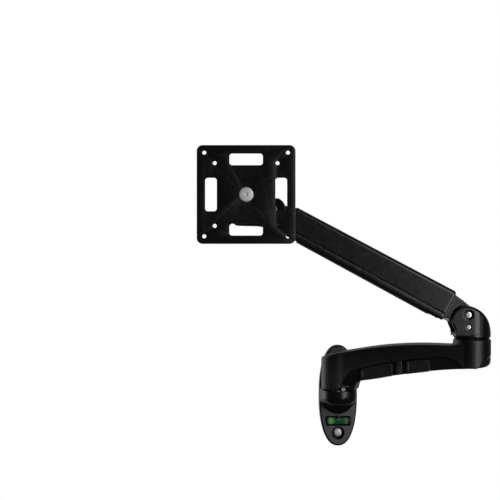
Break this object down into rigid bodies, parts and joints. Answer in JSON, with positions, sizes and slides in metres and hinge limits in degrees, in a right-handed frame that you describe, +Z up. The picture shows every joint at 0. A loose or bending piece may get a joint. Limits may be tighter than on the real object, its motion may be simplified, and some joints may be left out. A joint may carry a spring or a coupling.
{
  "type": "wall-mounted monitor arm",
  "caption": "Wall-mounted articulated monitor arm: bracket with spirit level, extension arm with cable clips, gas-spring arm and tilting square screen plate.",
  "frame": {"origin": "middle of the wall bracket's flat back face, which lies on the wall", "axes": "+Z up, +Y into the wall, the arm stands out towards -Y and the screen faces -Y at rest"},
  "size_m": [0.3612, 0.1362, 0.3783],
  "materials": {
    "cast_aluminium": "semi-gloss black powder coat on cast aluminium",
    "black_paint": "semi-gloss black paint on steel",
    "black_plastic": "black moulded plastic",
    "steel": "plain and zinc-plated steel",
    "zinc": "bright zinc plate",
    "nylon": "natural nylon",
    "clear_acrylic": "clear acrylic tube",
    "green_fluid": "green spirit level fluid"
  },
  "bodies": {
    "wall_mount": {"wall_bracket": "cast_aluminium", "level_vial": "clear_acrylic", "level_fluid": "green_fluid", "level_cap_left": "black_plastic", "level_cap_right": "black_plastic", "wall_screw_upper": "zinc", "wall_screw_lower": "zinc", "wall_washer_upper": "zinc", "wall_washer_lower": "zinc", "wall_bush": "nylon", "wall_thrust_washer": "nylon", "wall_hub_cap": "black_plastic"},
    "extension_arm": {"extension_casting": "cast_aluminium", "cable_clip_near": "black_plastic", "cable_clip_far": "black_plastic", "wall_pivot_bolt": "steel", "wall_bolt_washer": "steel", "stop_screw": "zinc", "elbow_bush": "nylon", "elbow_thrust_washer": "nylon", "elbow_cap": "black_plastic"},
    "elbow_swivel_head": {"elbow_knuckle": "cast_aluminium", "elbow_bolt": "steel", "elbow_nut": "steel", "elbow_spring_washer": "steel", "lift_pin_lower": "steel", "link_pin_lower_front": "steel", "link_pin_lower_rear": "steel"},
    "tension_adjuster": {"tension_screw": "steel"},
    "spring_anchor": {"strut_slider": "steel", "slider_pin": "steel"},
    "spring_arm": {"spring_arm_shell": "cast_aluminium", "arm_bottom_cover": "black_plastic", "strut_pin_far": "steel"},
    "lower_link": {"parallel_link": "steel"},
    "strut_tube": {"strut_cylinder": "black_paint"},
    "strut_piston": {"strut_rod": "steel"},
    "end_knuckle": {"head_knuckle": "cast_aluminium", "lift_pin_upper": "steel", "link_pin_upper": "steel", "pan_bush": "nylon", "pan_thrust_washer": "nylon"},
    "pan_yoke": {"pan_head": "cast_aluminium", "pan_bolt": "steel", "pan_bolt_washer": "steel", "tilt_bolt": "steel", "tilt_nut": "steel", "tilt_washer_left": "steel", "tilt_washer_right": "steel"},
    "tilt_head": {"tilt_block": "cast_aluminium", "rotate_bolt": "steel", "rotate_washer": "nylon"},
    "screen_plate": {"vesa_plate": "black_paint"}
  },
  "joints": [
    {"name": "wall_swivel", "type": "hinge", "parent": "wall_mount", "child": "extension_arm", "pos_m": [0, -0.039, 0.03], "axis": [0, 0, 1], "range_deg": [-165, 14]},
    {"name": "elbow_swivel", "type": "hinge", "parent": "extension_arm", "child": "elbow_swivel_head", "pos_m": [0.16071, -0.08056, 0.079], "axis": [0, 0, 1], "range_deg": [-11, 165]},
    {"name": "tension_turn", "type": "hinge", "parent": "elbow_swivel_head", "child": "tension_adjuster", "pos_m": [0.16921, -0.08056, 0.1], "axis": [0, 0, 1], "range_deg": [-180.5, 180.5]},
    {"name": "anchor_slide", "type": "slide", "parent": "elbow_swivel_head", "child": "spring_anchor", "axis": [0, 0, 1], "range_m": [-0.00063, 0.00063]},
    {"name": "arm_lift", "type": "hinge", "parent": "elbow_swivel_head", "child": "spring_arm", "pos_m": [0.15271, -0.08056, 0.1088], "axis": [0, 1, 0], "range_deg": [-34.6, 11.4]},
    {"name": "link_follow", "type": "hinge", "parent": "elbow_swivel_head", "child": "lower_link", "pos_m": [0.15271, -0.08056, 0.0938], "axis": [0, 1, 0], "range_deg": [-34.7, 11.5]},
    {"name": "strut_swing", "type": "hinge", "parent": "spring_arm", "child": "strut_tube", "pos_m": [-0.0141, -0.08056, 0.19975], "axis": [0, 1, 0], "range_deg": [-1.2, 1.2]},
    {"name": "strut_stroke", "type": "slide", "parent": "strut_tube", "child": "strut_piston", "axis": [0.8475, 0, -0.5309], "range_m": [-0.0085, 0.003]},
    {"name": "head_level", "type": "hinge", "parent": "spring_arm", "child": "end_knuckle", "pos_m": [-0.08434, -0.08056, 0.23805], "axis": [0, 1, 0], "range_deg": [-11.5, 34.7]},
    {"name": "head_pan", "type": "hinge", "parent": "end_knuckle", "child": "pan_yoke", "pos_m": [-0.11834, -0.08056, 0.2543], "axis": [0, 0, 1], "range_deg": [-180, 10]},
    {"name": "head_tilt", "type": "hinge", "parent": "pan_yoke", "child": "tilt_head", "pos_m": [-0.11834, -0.10856, 0.2543], "axis": [-1, 0, 0], "range_deg": [-20, 45]},
    {"name": "plate_rotate", "type": "hinge", "parent": "tilt_head", "child": "screen_plate", "pos_m": [-0.11834, -0.13056, 0.2543], "axis": [0, -1, 0], "range_deg": [-180, 180]}
  ],
  "couplings": [
    {"joint": "tension_turn", "follows": "anchor_slide", "rad_per_m": 5026.5},
    {"joint": "link_follow", "follows": "arm_lift", "ratio": 1},
    {"joint": "head_level", "follows": "arm_lift", "ratio": -1},
    {"joint": "strut_swing", "follows": "arm_lift", "ratio": -0.033},
    {"joint": "strut_stroke", "follows": "arm_lift", "m_per_rad": 0.0133}
  ]
}
